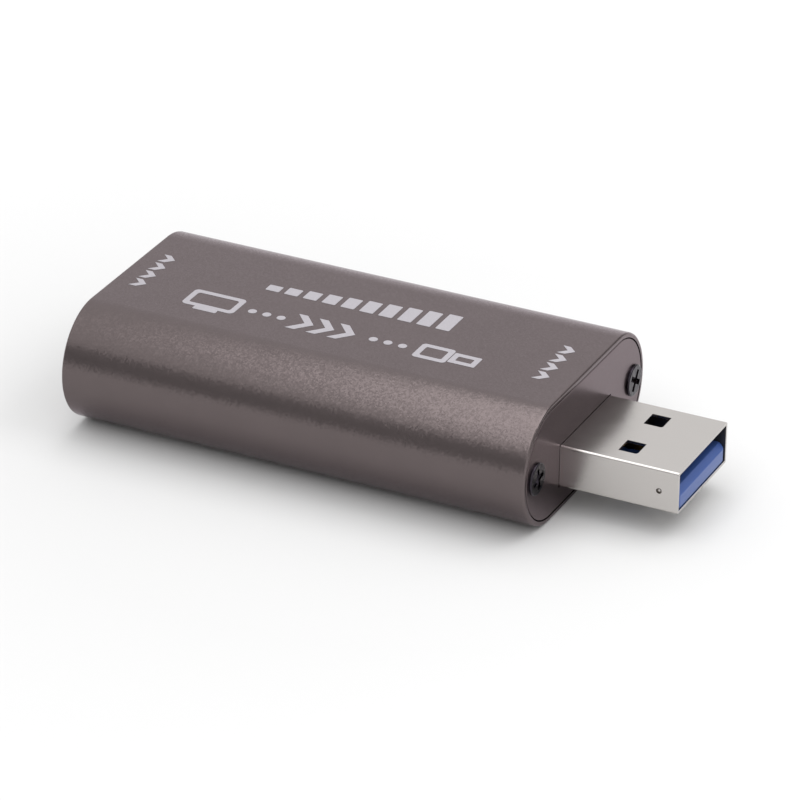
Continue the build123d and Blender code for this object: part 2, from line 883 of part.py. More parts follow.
with BuildPart() as chip_resistors:
    with Locations(*resistor_places):
        Box(
            chip_part_length - end_cap,
            chip_part_width - 2 * end_cap_lap,
            resistor_height - end_cap_lap,
            align=(Align.CENTER, Align.CENTER, Align.MIN),
        )
        with Locations((-cap_shift, 0), (cap_shift, 0)):
            Box(
                end_cap,
                chip_part_width,
                resistor_height,
                align=(Align.CENTER, Align.CENTER, Align.MIN),
            )

chip_resistors.part.label = "chip_resistors"
export_step(chip_resistors.part, "parts/chip_resistors.step")
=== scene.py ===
import bmesh
import bpy
from math import pi, radians
from mathutils import Matrix, Vector


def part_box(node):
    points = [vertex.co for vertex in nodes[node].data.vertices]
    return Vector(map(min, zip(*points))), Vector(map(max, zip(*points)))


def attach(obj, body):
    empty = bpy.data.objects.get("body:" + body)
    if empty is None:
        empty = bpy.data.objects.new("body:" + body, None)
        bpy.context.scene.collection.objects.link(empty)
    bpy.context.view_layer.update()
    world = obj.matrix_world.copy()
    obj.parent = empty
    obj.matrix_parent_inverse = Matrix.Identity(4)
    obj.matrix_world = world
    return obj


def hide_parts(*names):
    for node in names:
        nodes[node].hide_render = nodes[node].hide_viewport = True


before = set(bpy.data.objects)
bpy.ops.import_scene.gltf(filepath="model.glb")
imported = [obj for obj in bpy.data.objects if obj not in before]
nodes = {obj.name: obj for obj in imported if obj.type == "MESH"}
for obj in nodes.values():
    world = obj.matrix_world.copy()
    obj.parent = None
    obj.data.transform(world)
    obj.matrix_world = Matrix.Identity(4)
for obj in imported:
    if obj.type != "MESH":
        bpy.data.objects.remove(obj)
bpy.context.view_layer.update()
mm = 0.001

# Camera: a long lens, as in a studio, above and in front of the box's data plug.
# It looks down at about 28 degrees, from 26 degrees to the plug's side.
camera_eye = Vector((186.540, -384.42, 229.70)) * mm
camera_aim = Vector((0.513, -2.874, 6.35)) * mm
camera_roll = radians(0.497)
camera_data = bpy.data.cameras.new("camera")
camera_data.lens = 218.8
camera_data.sensor_width = 36
camera_data.clip_start = 10 * mm
camera = bpy.data.objects.new("camera", camera_data)
look = (camera_aim - camera_eye).to_track_quat("-Z", "Y").to_matrix().to_4x4()
camera.matrix_world = Matrix.Translation(camera_eye) @ look @ Matrix.Rotation(camera_roll, 4, "Z")
bpy.context.scene.collection.objects.link(camera)
bpy.context.scene.camera = camera
bpy.context.scene.view_settings.view_transform = "Standard"


# Floor and light: a white card table inside a bright cloth tent. A long soft lamp
# hangs over the box and a small one beside it. Two grey felt panels, behind the
# camera and behind the plug, give the metal the darker bands of a studio picture.
def linear(hex_code, alpha=1.0):
    """An sRGB hex colour, such as #7a6f73, as a linear colour."""
    values = [int(hex_code[i:i + 2], 16) / 255 for i in (1, 3, 5)]
    return (*[v / 12.92 if v <= 0.04045 else ((v + 0.055) / 1.055) ** 2.4 for v in values], alpha)


def add_node(tree, kind, inputs=None, **settings):
    """Adds a shader node, with its settings, and sets or links its named inputs."""
    node = tree.nodes.new(kind)
    for name, value in settings.items():
        setattr(node, name, value)
    for name, value in (inputs or {}).items():
        if isinstance(value, bpy.types.NodeSocket):
            tree.links.new(value, node.inputs[name])
        else:
            node.inputs[name].default_value = value
    return node


def new_material(name):
    """An empty node material and its tree."""
    material = bpy.data.materials.new(name)
    material.use_nodes = True
    material.node_tree.nodes.clear()
    return material, material.node_tree


table_size = 6.0
shadow_reach = 40 * mm
tent_reach = 220 * mm
tent_glow = 0.28
bpy.ops.object.select_all(action="DESELECT")
bpy.ops.mesh.primitive_plane_add(size=table_size, location=(0, 0, 0))
floor = bpy.context.object
floor.name = "white_table"
# Matt card is even and dull, so the eye sees only a soft shadow on it. Past the
# shadow it glows a little where it is seen, and so runs into the tent's white.
floor_material, tree = new_material("matt white card")
light_path = add_node(tree, "ShaderNodeLightPath")
seen = add_node(tree, "ShaderNodeMath", {0: light_path.outputs["Is Camera Ray"],
                                         1: light_path.outputs["Is Glossy Ray"]}, operation="MAXIMUM")
seen = add_node(tree, "ShaderNodeMath", {0: seen.outputs[0],
                                         1: light_path.outputs["Is Transmission Ray"]}, operation="MAXIMUM")
place = add_node(tree, "ShaderNodeTexCoord").outputs["Object"]
reach = add_node(tree, "ShaderNodeVectorMath", {0: place}, operation="LENGTH")
fill = add_node(tree, "ShaderNodeMapRange",
                {"Value": reach.outputs["Value"], "From Min": shadow_reach, "From Max": tent_reach,
                 "To Min": 0.0, "To Max": tent_glow})
lift = add_node(tree, "ShaderNodeMath", {0: seen.outputs[0], 1: fill.outputs[0]}, operation="MULTIPLY")
card = add_node(tree, "ShaderNodeBsdfDiffuse", {"Color": linear("#d8d8d8")})
glow = add_node(tree, "ShaderNodeEmission", {"Color": linear("#ffffff"), "Strength": lift.outputs[0]})
both = add_node(tree, "ShaderNodeAddShader", {0: card.outputs[0], 1: glow.outputs[0]})
add_node(tree, "ShaderNodeOutputMaterial", {"Surface": both.outputs[0]})
floor.data.materials.append(floor_material)

# The tent's cloth is lit evenly from outside, so the light has no direction.
world = bpy.data.worlds.new("light_tent")
world.use_nodes = True
world.node_tree.nodes.clear()
tent = add_node(world.node_tree, "ShaderNodeBackground", {"Color": linear("#ffffff"), "Strength": 1.0})
add_node(world.node_tree, "ShaderNodeOutputWorld", {"Surface": tent.outputs[0]})
bpy.context.scene.world = world

for lamp_name, watts, size, place in (("lamp_over", 0.90, (205, 800), (-62, -110, 400)),
                                      ("lamp_side", 0.10, (120, 120), (110, 40, 160))):
    lamp_data = bpy.data.lights.new(lamp_name, "AREA")
    lamp_data.shape = "RECTANGLE"
    lamp_data.size, lamp_data.size_y = Vector(size) * mm
    lamp_data.energy = watts
    lamp = bpy.data.objects.new(lamp_name, lamp_data)
    lamp.location = Vector(place) * mm
    lamp.visible_camera = False
    bpy.context.scene.collection.objects.link(lamp)

# Felt is dull and even, so the metal mirrors it as one soft darker band. The back
# panel is only mirrored, and takes no light from the box.
for panel_name, grey, place, turn, size in (
        ("front_panel", "#b0b0b0", (-164, -387, 135), -23, (760, 10, 230)),
        ("back_panel", "#a6a6a6", (287, 201, 175), 125, (700, 10, 250))):
    bpy.ops.object.select_all(action="DESELECT")
    bpy.ops.mesh.primitive_cube_add(size=1, location=Vector(place) * mm, rotation=(0, 0, radians(turn)),
                                    scale=Vector(size) * mm)
    panel = bpy.context.object
    panel.name = panel_name
    panel.visible_camera = False
    panel.visible_diffuse = panel.visible_shadow = panel_name == "front_panel"
    panel_material, tree = new_material(panel_name + " felt")
    felt = add_node(tree, "ShaderNodeBsdfDiffuse", {"Color": linear(grey)})
    add_node(tree, "ShaderNodeOutputMaterial", {"Surface": felt.outputs[0]})
    panel.data.materials.append(panel_material)

# Shell: an aluminium extrusion with rounded sides, blasted with fine beads and
# anodised a warm grey. Both mouths are milled out for the end plates, and two
# rails inside hold the board and the screws.
ink_thickness = 0.02 * mm
shell_low, shell_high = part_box("shell")
middle_z = (shell_low.z + shell_high.z) / 2
cut_overrun = 1.0 * mm
same_place = 1e-7
smooth_angle = radians(32)
arc_segments = 24


def block(name, low, high, turn=(0, 0, 0)):
    """A box from its lowest to its highest corner, turned about its own middle."""
    bpy.ops.object.select_all(action="DESELECT")
    bpy.ops.mesh.primitive_cube_add(
        size=1, location=(Vector(low) + Vector(high)) / 2, rotation=turn, scale=Vector(high) - Vector(low))
    piece = bpy.context.object
    piece.name = piece.data.name = name
    bpy.ops.object.transform_apply(location=True, rotation=True, scale=True)
    return piece


def bevel_edges(piece, test, width, segments, profile=0.5):
    """Rounds the edges whose two ends pass the test."""
    bpy.ops.object.select_all(action="DESELECT")
    piece.select_set(True)
    bpy.context.view_layer.objects.active = piece
    bpy.ops.object.mode_set(mode="EDIT")
    bpy.ops.mesh.select_mode(type="EDGE")
    bpy.ops.mesh.select_all(action="DESELECT")
    mesh = bmesh.from_edit_mesh(piece.data)
    for edge in mesh.edges:
        edge.select_set(test(*[vertex.co for vertex in edge.verts]))
    bmesh.update_edit_mesh(piece.data)
    bpy.ops.mesh.bevel(offset=width, offset_type="OFFSET", segments=segments, profile=profile,
                       affect="EDGES", clamp_overlap=True)
    bpy.ops.mesh.select_all(action="SELECT")
    bpy.ops.mesh.remove_doubles(threshold=same_place)
    bpy.ops.mesh.normals_make_consistent(inside=False)
    bpy.ops.object.mode_set(mode="OBJECT")


def along_x(a, b):
    """Whether an edge runs along X."""
    return abs(a.y - b.y) < same_place and abs(a.z - b.z) < same_place


def at_x(*planes):
    """A test for edges that lie in one of the planes across X."""
    return lambda a, b: any(abs(a.x - x) < same_place and abs(b.x - x) < same_place for x in planes)


def stadium_bar(name, low, high):
    """A bar along X with flat broad faces and half-round sides."""
    bar = block(name, low, high)
    bevel_edges(bar, along_x, (high[2] - low[2]) / 2, arc_segments)
    return bar


def cut(piece, *cutters):
    """Takes each cutter out of the piece, and deletes the cutter."""
    for cutter in cutters:
        bpy.ops.object.select_all(action="DESELECT")
        piece.select_set(True)
        bpy.context.view_layer.objects.active = piece
        hole = piece.modifiers.new("hole", "BOOLEAN")
        hole.operation = "DIFFERENCE"
        hole.solver = "EXACT"
        hole.object = cutter
        bpy.ops.object.modifier_apply(modifier=hole.name)
        bpy.data.objects.remove(cutter)


def rod(name, start, end, radius, sides=48):
    """A round bar between two points that lie along X."""
    bpy.ops.object.select_all(action="DESELECT")
    bpy.ops.mesh.primitive_cylinder_add(
        vertices=sides, radius=radius, depth=end[0] - start[0],
        location=(Vector(start) + Vector(end)) / 2, rotation=(0, pi / 2, 0))
    piece = bpy.context.object
    piece.name = piece.data.name = name
    bpy.ops.object.transform_apply(location=True, rotation=True, scale=True)
    return piece


def settle(piece, material, slot, *replaced):
    """Shades a finished piece so that its flats stay flat, gives it its material,
    and ties it to the frame."""
    bpy.ops.object.select_all(action="DESELECT")
    piece.select_set(True)
    bpy.context.view_layer.objects.active = piece
    bpy.ops.object.shade_smooth_by_angle(angle=smooth_angle)
    flats = piece.modifiers.new("flats", "WEIGHTED_NORMAL")
    flats.keep_sharp = True
    bpy.ops.object.modifier_apply(modifier=flats.name)
    piece.data.materials.clear()
    piece.data.materials.append(material)
    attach(piece, "root")
    if replaced:
        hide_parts(*replaced)


wall = 1.2 * mm
rim = 0.5 * mm
plate_thickness = 1.5 * mm
end_round = 0.25 * mm
rail_lip = 0.9 * mm
board_gap = 0.05 * mm
groove_depth = 0.7 * mm
channel_radius = 0.85 * mm
channel_slot = 0.7 * mm
screw_y = 11.5 * mm
board_low, board_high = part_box("main_board")
groove_y = board_high.y + 2 * board_gap
rail_y = groove_y - groove_depth
rail_low_z = board_low.z - board_gap - rail_lip
rail_high_z = middle_z + channel_radius + rail_lip

body_shell = stadium_bar("body_shell", shell_low, shell_high - Vector((0, 0, ink_thickness)))
bevel_edges(body_shell, at_x(shell_low.x, shell_high.x), end_round, 3)
over = Vector((cut_overrun, 0, 0))
inset = Vector((0, wall, wall))
cavity = stadium_bar("cavity", shell_low + inset - over, shell_high - inset + over)
for side in (-1, 1):
    rail_span = sorted((side * rail_y, side * shell_high.y))
    cut(cavity, block("rail", (shell_low.x - 2 * cut_overrun, rail_span[0], rail_low_z),
                      (shell_high.x + 2 * cut_overrun, rail_span[1], rail_high_z)))
cut(body_shell, cavity)
cut(body_shell, block("groove", (shell_low.x - cut_overrun, -groove_y, board_low.z - board_gap),
                      (shell_high.x + cut_overrun, groove_y, board_high.z + board_gap)))
cut(body_shell, block("slot", (shell_low.x - cut_overrun, -screw_y, middle_z - channel_slot / 2),
                      (shell_high.x + cut_overrun, screw_y, middle_z + channel_slot / 2)))
for side in (-1, 1):
    cut(body_shell, rod("channel", (shell_low.x - cut_overrun, side * screw_y, middle_z),
                        (shell_high.x + cut_overrun, side * screw_y, middle_z), channel_radius, 24))
mouth_low = shell_low + Vector((-cut_overrun, rim, rim))
mouth_high = shell_high - Vector((-cut_overrun, rim, rim))
cut(body_shell,
    stadium_bar("mouth", mouth_low, (shell_low.x + plate_thickness, mouth_high.y, mouth_high.z)),
    stadium_bar("mouth", (shell_high.x - plate_thickness, mouth_low.y, mouth_low.z), mouth_high))


def anodised(name, hex_code, roughness, grain, tilt):
    """Blasted and anodised aluminium: a dyed metal that the beads have struck into
    small facets. Each leans its own way and catches the light, as a faint sparkle,
    and the dye is a trace uneven over many grains."""
    material, tree = new_material(name)
    place = add_node(tree, "ShaderNodeTexCoord").outputs["Object"]
    facets = add_node(tree, "ShaderNodeTexVoronoi", {"Vector": place, "Scale": 1 / grain})
    lean = add_node(tree, "ShaderNodeVectorMath", {0: facets.outputs["Color"], 1: (0.5, 0.5, 0.5)},
                    operation="SUBTRACT")
    lean = add_node(tree, "ShaderNodeVectorMath", {0: lean.outputs["Vector"], "Scale": tilt},
                    operation="SCALE")
    facing = add_node(tree, "ShaderNodeNewGeometry")
    lean = add_node(tree, "ShaderNodeVectorMath", {0: facing.outputs["Normal"], 1: lean.outputs["Vector"]},
                    operation="ADD")
    lean = add_node(tree, "ShaderNodeVectorMath", {0: lean.outputs["Vector"]}, operation="NORMALIZE")
    mottle = add_node(tree, "ShaderNodeTexNoise", {"Vector": place, "Scale": 1 / (18 * grain), "Detail": 3.0})
    tint = add_node(tree, "ShaderNodeMapRange",
                    {"Value": mottle.outputs["Fac"], "From Min": 0.3, "From Max": 0.7,
                     "To Min": 0.98, "To Max": 1.02})
    dyed = add_node(tree, "ShaderNodeVectorMath",
                    {0: linear(hex_code)[:3], "Scale": tint.outputs["Result"]}, operation="SCALE")
    metal = add_node(tree, "ShaderNodeBsdfPrincipled",
                     {"Base Color": dyed.outputs["Vector"], "Metallic": 1.0, "Roughness": roughness,
                      "Specular Tint": linear("#fff9fd"), "Normal": lean.outputs["Vector"]})
    add_node(tree, "ShaderNodeOutputMaterial", {"Surface": metal.outputs[0]})
    return material


# The finish gives the eye a warm grey satin with a broad soft glow and a fine
# sparkle. Its grain is drawn about three times as coarse as real, so that it shows.
blast_grain = 0.15 * mm
body_metal = anodised("bead-blasted anodised aluminium", "#696060", 0.26, blast_grain, 0.076)
settle(body_shell, body_metal, "anodised_body", "shell")

# End plates: flat aluminium plates that lie flush in the shell's mouths, with a
# small bevel round the edge, anodised like the shell but smoother. The output
# plate has the plug's opening and the input plate the socket's.
plate_gap = 0.1 * mm
plate_bevel = 0.15 * mm
screw_hole_radius = 0.95 * mm
plug_gap = 0.07 * mm
socket_gap = 0.15 * mm
plug_low, plug_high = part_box("plug_shell")
socket_low, socket_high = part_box("socket_shell")
socket_bevel = 1.5 * mm
socket_corner = 0.4 * mm


def end_plate(name, low_x, high_x, outer_x):
    """A plate with its outer edge bevelled and its two screw holes."""
    reach = Vector((0, rim + plate_gap, rim + plate_gap))
    low = Vector((low_x, shell_low.y, shell_low.z)) + reach
    high = Vector((high_x, shell_high.y, shell_high.z)) - reach
    plate = stadium_bar(name, low, high)
    bevel_edges(plate, at_x(outer_x), plate_bevel, 2)
    for side in (-1, 1):
        cut(plate, rod("hole", (low_x - cut_overrun, side * screw_y, middle_z),
                       (high_x + cut_overrun, side * screw_y, middle_z), screw_hole_radius))
    return plate


# A finer blast lies under this dye, so the plates look even, with no sparkle.
plate_metal = anodised("satin anodised aluminium", "#655a5b", 0.28, blast_grain, 0.015)
output_plate = end_plate("output_plate", shell_high.x - plate_thickness, shell_high.x, shell_high.x)
cut(output_plate, block(
    "plug_hole", (shell_high.x - 2 * plate_thickness, plug_low.y - plug_gap, plug_low.z - plug_gap),
    (shell_high.x + cut_overrun, plug_high.y + plug_gap, plug_high.z + plug_gap)))
settle(output_plate, plate_metal, "anodised_plate", "output_end_plate")

input_plate = end_plate("input_plate", shell_low.x, shell_low.x + plate_thickness, shell_low.x)


def socket_bar(name, low_x, high_x, grow):
    """A bar along X with the video socket's outline, grown all round."""
    low = Vector((low_x, socket_low.y - grow, board_high.z - grow))
    high = Vector((high_x, socket_high.y + grow, socket_high.z + grow))
    bar = block(name, low, high)
    bevel_edges(bar, lambda a, b: along_x(a, b) and a.z < middle_z, socket_bevel, 1)
    bevel_edges(bar, along_x, socket_corner, 4)
    return bar


cut(input_plate, socket_bar("socket_hole", shell_low.x - cut_overrun,
                            shell_low.x + 2 * plate_thickness, socket_gap))
settle(input_plate, plate_metal, "anodised_plate", "input_end_plate")

# Screws: small steel pan heads with a cross recess, plated glossy black, turned
# into the channels of the shell's rails. The plating mirrors what is round it, so
# a head looks pale where it faces the table and black at its rim and recess.
head_radius = 1.65 * mm
head_height = 0.3 * mm
head_round = 0.15 * mm
shank_radius = 0.8 * mm
shank_point = 0.4 * mm
screw_length = 6.0 * mm
recess_span = 2.3 * mm
recess_width = 0.56 * mm
recess_depth = 0.18 * mm
pit_radius = 0.55 * mm
pit_depth = 0.8 * mm
pit_overrun = 0.05 * mm
recess_side = recess_width / 2 ** 0.5
recess_floor = Vector((head_height - recess_depth, 0, 0))
driven_turns = {-1: radians(12), 1: radians(58)}


def joined(name, pieces):
    """Joins pieces into one, under a name."""
    bpy.ops.object.select_all(action="DESELECT")
    for piece in pieces:
        piece.select_set(True)
    bpy.context.view_layer.objects.active = pieces[0]
    if len(pieces) > 1:
        bpy.ops.object.join()
    pieces[0].name = pieces[0].data.name = name
    return pieces[0]


def copied(piece, turn, place):
    """A copy of a piece with a mesh of its own, turned about X, Y and Z and moved."""
    twin = piece.copy()
    twin.data = piece.data.copy()
    bpy.context.scene.collection.objects.link(twin)
    bpy.ops.object.select_all(action="DESELECT")
    twin.select_set(True)
    bpy.context.view_layer.objects.active = twin
    twin.rotation_euler = turn
    twin.location = place
    bpy.ops.object.transform_apply(location=True, rotation=True, scale=True)
    return twin


head = rod("screw", (0, 0, 0), (head_height, 0, 0), head_radius, 64)
bevel_edges(head, at_x(head_height), head_round, 4)
shank = rod("shank", (-screw_length, 0, 0), (0, 0, 0), shank_radius, 32)
bevel_edges(shank, at_x(-screw_length), shank_point, 1)
for piece in (head, shank):
    for size, groove, turn in (
            ((0, recess_span, recess_width), (recess_side, recess_span, recess_side), (0, pi / 4, 0)),
            ((0, recess_width, recess_span), (recess_side, recess_side, recess_span), (0, 0, pi / 4))):
        half_arm, half_groove = Vector(size) / 2, Vector(groove) / 2
        cut(piece, block("arm", recess_floor - half_arm, recess_floor + half_arm + over),
            block("groove", recess_floor - half_groove, recess_floor + half_groove, turn))
    bpy.ops.object.select_all(action="DESELECT")
    bpy.ops.mesh.primitive_cone_add(
        vertices=4, radius1=0, radius2=pit_radius, depth=pit_depth,
        location=(head_height + pit_overrun - pit_depth / 2, 0, 0), rotation=(0, pi / 2, 0))
    pit = bpy.context.object
    bpy.ops.object.transform_apply(location=True, rotation=True, scale=True)
    cut(piece, pit)
screw = joined("screw", [head, shank])
# Bright black plating is dark in itself, with sharp pale glints. Its thickness
# varies a little, which breaks the glints up.
screw_metal, tree = new_material("black-plated screw steel")
place = add_node(tree, "ShaderNodeTexCoord").outputs["Object"]
wear = add_node(tree, "ShaderNodeTexNoise", {"Vector": place, "Scale": 1 / (0.5 * mm), "Detail": 3.0})
gloss = add_node(tree, "ShaderNodeMapRange",
                 {"Value": wear.outputs["Fac"], "From Min": 0.35, "From Max": 0.65,
                  "To Min": 0.12, "To Max": 0.22})
bump = add_node(tree, "ShaderNodeBump", {"Height": wear.outputs["Fac"], "Distance": 0.05 * mm})
metal = add_node(tree, "ShaderNodeBsdfPrincipled", {"Base Color": linear("#38343a"), "Metallic": 1.0,
                                                    "Roughness": gloss.outputs["Result"],
                                                    "Normal": bump.outputs["Normal"]})
add_node(tree, "ShaderNodeOutputMaterial", {"Surface": metal.outputs[0]})
for end_name, face_x, half_turn in (("output", shell_high.x, 0), ("input", shell_low.x, pi)):
    pair = [copied(screw, (turn, 0, half_turn), (face_x, side * screw_y, middle_z))
            for side, turn in driven_turns.items()]
    settle(joined(end_name + "_screws", pair), screw_metal, "dark_screw_steel", end_name + "_end_screws")
bpy.data.objects.remove(screw)

# Plug shell: steel sheet folded into a flat tube and plated with satin nickel.
# Windows in its broad faces catch the socket's springs, a punched dimple in each
# side holds the insulator, and the sheet's two edges meet in a seam underneath.
sheet = 0.3 * mm
bend = 0.26 * mm
inner_bend = 0.05 * mm
edge_break = 0.04 * mm
seam_width = 0.05 * mm
tab_length = 3.0 * mm
tab_height = 2.4 * mm
window_length = 2.0 * mm
window_width = 2.25 * mm
window_y = 3.03 * mm
window_setback = 5.15 * mm
window_round = 0.3 * mm
dimple_radius = 0.3 * mm
dimple_depth = 0.26 * mm
dimple_post = 0.12 * mm
dimple_post_foot = 0.192 * mm
dimple_setback = 2.0 * mm
dimple_drop = 0.1 * mm
face_margin = 0.01 * mm
plug_rear_x = plug_low.x + tab_length
plug_z = (plug_low.z + plug_high.z) / 2
plug_tube = block("plug_tube", (plug_rear_x, plug_low.y, plug_low.z), plug_high)
bevel_edges(plug_tube, along_x, bend, 8)
bevel_edges(plug_tube, at_x(plug_high.x), edge_break, 2)
bore = block("bore", (plug_rear_x - cut_overrun, plug_low.y + sheet, plug_low.z + sheet),
             (plug_high.x + cut_overrun, plug_high.y - sheet, plug_high.z - sheet))
bevel_edges(bore, along_x, inner_bend, 3)
cut(plug_tube, bore)
window_x = plug_high.x - window_setback
dimple_x = plug_high.x - dimple_setback
dimple_z = plug_z - dimple_drop
for side in (-1, 1):
    window_mid = side * window_y
    window = block(
        "window", (window_x - window_length, window_mid - window_width / 2, plug_low.z - cut_overrun),
        (window_x, window_mid + window_width / 2, plug_high.z + cut_overrun))
    bevel_edges(window, lambda a, b: at_x(window_x)(a, b) and max(a.y, b.y) < window_mid,
                window_round, 4)
    cut(plug_tube, window)
    bpy.ops.object.select_all(action="DESELECT")
    bpy.ops.mesh.primitive_cylinder_add(
        vertices=32, radius=dimple_radius, depth=dimple_depth + edge_break,
        location=(dimple_x, side * (plug_high.y - (dimple_depth - edge_break) / 2), dimple_z),
        rotation=(pi / 2, 0, 0))
    punch = bpy.context.object
    bpy.ops.object.transform_apply(location=True, rotation=True, scale=True)
    bpy.ops.mesh.primitive_cone_add(
        vertices=32, radius1=dimple_post_foot, radius2=dimple_post, depth=dimple_depth,
        location=(dimple_x, side * (plug_high.y - dimple_depth), dimple_z),
        rotation=(-side * pi / 2, 0, 0))
    post = bpy.context.object
    bpy.ops.object.transform_apply(location=True, rotation=True, scale=True)
    cut(punch, post)
    cut(plug_tube, punch)
cut(plug_tube, block("seam", (plug_rear_x - cut_overrun, -seam_width / 2, plug_low.z - cut_overrun),
                     (plug_high.x + cut_overrun, seam_width / 2, plug_low.z + sheet + cut_overrun / 2)))
tabs = [block("tab", (plug_low.x, low_y, plug_z - tab_height / 2),
              (plug_rear_x, low_y + sheet, plug_z + tab_height / 2))
        for low_y in (plug_low.y, plug_high.y - sheet)]
plug_tube = joined("plug_tube", [plug_tube, *tabs])
# Thin nickel over rolled sheet has a soft silvery sheen, with faint streaks along
# the way that the sheet was rolled, drawn coarser than real so that they show.
nickel, tree = new_material("satin nickel-plated steel")
place = add_node(tree, "ShaderNodeTexCoord").outputs["Object"]
stretch = add_node(tree, "ShaderNodeMapping", {"Vector": place, "Scale": (0.12, 1.0, 1.0)})
rolled = add_node(tree, "ShaderNodeTexNoise",
                  {"Vector": stretch.outputs[0], "Scale": 1 / (0.3 * mm), "Detail": 3.0})
gloss = add_node(tree, "ShaderNodeMapRange",
                 {"Value": rolled.outputs["Fac"], "From Min": 0.3, "From Max": 0.7,
                  "To Min": 0.22, "To Max": 0.27})
bump = add_node(tree, "ShaderNodeBump", {"Height": rolled.outputs["Fac"], "Distance": 0.0004 * mm})
metal = add_node(tree, "ShaderNodeBsdfPrincipled", {"Base Color": linear("#c1bdba"), "Metallic": 1.0,
                                                    "Roughness": gloss.outputs["Result"],
                                                    "Normal": bump.outputs["Normal"]})
add_node(tree, "ShaderNodeOutputMaterial", {"Surface": metal.outputs[0]})
settle(plug_tube, nickel, "nickel_plated_steel", "plug_shell")


def second_material(piece, material, test):
    """Gives one more material to the faces whose middle passes the test."""
    piece.data.materials.append(material)
    for face in piece.data.polygons:
        if test(face.center):
            face.material_index = len(piece.data.materials) - 1


def plain_metal(name, hex_code, smooth, rough, grain, detail=3.0):
    """Thin metal whose gloss wanders between two roughnesses, in faint clouds."""
    material, tree = new_material(name)
    place = add_node(tree, "ShaderNodeTexCoord").outputs["Object"]
    clouds = add_node(tree, "ShaderNodeTexNoise", {"Vector": place, "Scale": 1 / grain, "Detail": detail})
    gloss = add_node(tree, "ShaderNodeMapRange",
                     {"Value": clouds.outputs["Fac"], "To Min": smooth, "To Max": rough})
    metal = add_node(tree, "ShaderNodeBsdfPrincipled",
                     {"Base Color": linear(hex_code), "Metallic": 1.0,
                      "Roughness": gloss.outputs["Result"]})
    add_node(tree, "ShaderNodeOutputMaterial", {"Surface": metal.outputs[0]})
    return material


# Painted shade: the dimple's ring gets a darker, duller nickel, so its recess looks shaded.
dimple_painted_shade = plain_metal("burnished nickel", "#96918c", 0.35, 0.5, 0.1 * mm, detail=2.0)
dimple_middle = Vector((dimple_x, dimple_z))
second_material(plug_tube, dimple_painted_shade, lambda c: (
    plug_high.y - sheet < abs(c.y) < plug_high.y - face_margin
    and dimple_post / 2 < (c.xz - dimple_middle).length < dimple_radius + face_margin))
# Painted shade: the inside gets a darker, duller nickel, so the mouth stays dark over the tongue.
inner_painted_shade = plain_metal("inner nickel darkened as painted shade", "#5a5856", 0.4, 0.5, 0.6 * mm, detail=2.0)
inner_margin = sheet - face_margin
second_material(plug_tube, inner_painted_shade, lambda c: (
    plug_rear_x < c.x < plug_high.x - 2 * edge_break and abs(c.y) < plug_high.y - inner_margin
    and plug_low.z + 2 * sheet < c.z < plug_high.z - inner_margin))

# Insulators and contacts: the plug's tongue and rear block are moulded in blue
# nylon and the socket's body in black, over stamped and gold-plated contacts. The
# tongue's front edge is rounded here, and the others keep their solids.
tongue_round = 0.06 * mm
edge_reach = 1.0 * mm
weld_reach = 0.001 * mm
flat_angle = radians(1)
mould_relief = 0.002 * mm


def moulded(name, hex_code, roughness, grain):
    """Moulded plastic: an even colour with the fine grain of the mould."""
    material, tree = new_material(name)
    place = add_node(tree, "ShaderNodeTexCoord").outputs["Object"]
    grit = add_node(tree, "ShaderNodeTexNoise", {"Vector": place, "Scale": 1 / grain, "Detail": 2.0})
    bump = add_node(tree, "ShaderNodeBump", {"Height": grit.outputs["Fac"], "Distance": mould_relief})
    plastic = add_node(tree, "ShaderNodeBsdfPrincipled",
                       {"Base Color": linear(hex_code), "Roughness": roughness, "IOR": 1.5,
                        "Normal": bump.outputs["Normal"]})
    add_node(tree, "ShaderNodeOutputMaterial", {"Surface": plastic.outputs[0]})
    return material


def merged(name, node_name):
    """A copy of a frame node's mesh as one clean skin, to be worked on."""
    piece = bpy.data.objects.new(name, nodes[node_name].data.copy())
    bpy.context.scene.collection.objects.link(piece)
    bpy.ops.object.select_all(action="DESELECT")
    piece.select_set(True)
    bpy.context.view_layer.objects.active = piece
    bpy.ops.object.mode_set(mode="EDIT")
    bpy.ops.mesh.select_all(action="SELECT")
    bpy.ops.mesh.remove_doubles(threshold=weld_reach)
    bpy.ops.mesh.dissolve_limited(angle_limit=flat_angle)
    bpy.ops.object.mode_set(mode="OBJECT")
    return piece


# Nylon is one even colour, with a soft low sheen from the mould's fine grain. Gold
# plate is warm and bright.
blue = moulded("moulded blue nylon", "#3e5999", 0.35, 0.2 * mm)
black = moulded("moulded black nylon", "#141416", 0.45, 0.2 * mm)
gold = plain_metal("thin gold plate", "#d9b060", 0.19, 0.31, 0.2 * mm)
tongue = merged("moulded_tongue", "plug_tongue")
tongue_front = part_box("plug_tongue")[1].x
bevel_edges(tongue, lambda a, b: (min(a.x, b.x) > tongue_front - edge_reach
                                  and min(a.z, b.z) > plug_low.z + edge_reach), tongue_round, 3)
settle(tongue, blue, "blue_insulator", "plug_tongue")

for node_name, material in (
        ("plug_rear_block", blue), ("socket_body", black), ("socket_shell", nickel),
        ("plug_flat_contacts", gold), ("plug_spring_contacts", gold),
        ("socket_upper_contacts", gold), ("socket_lower_contacts", gold)):
    for material_slot in nodes[node_name].material_slots:
        material_slot.material = material

# Board and its parts: a green laminate board with moulded chips, a metal-lidded
# crystal, a ferrite coil, and ceramic capacitors and resistors with tinned ends,
# all soldered to its upper face.
lead_margin = 0.02 * mm
tray_height = 0.4 * mm
coil_round = 0.1 * mm
block_round = 0.03 * mm
block_reach = 0.5 * mm
end_length = 0.35 * mm

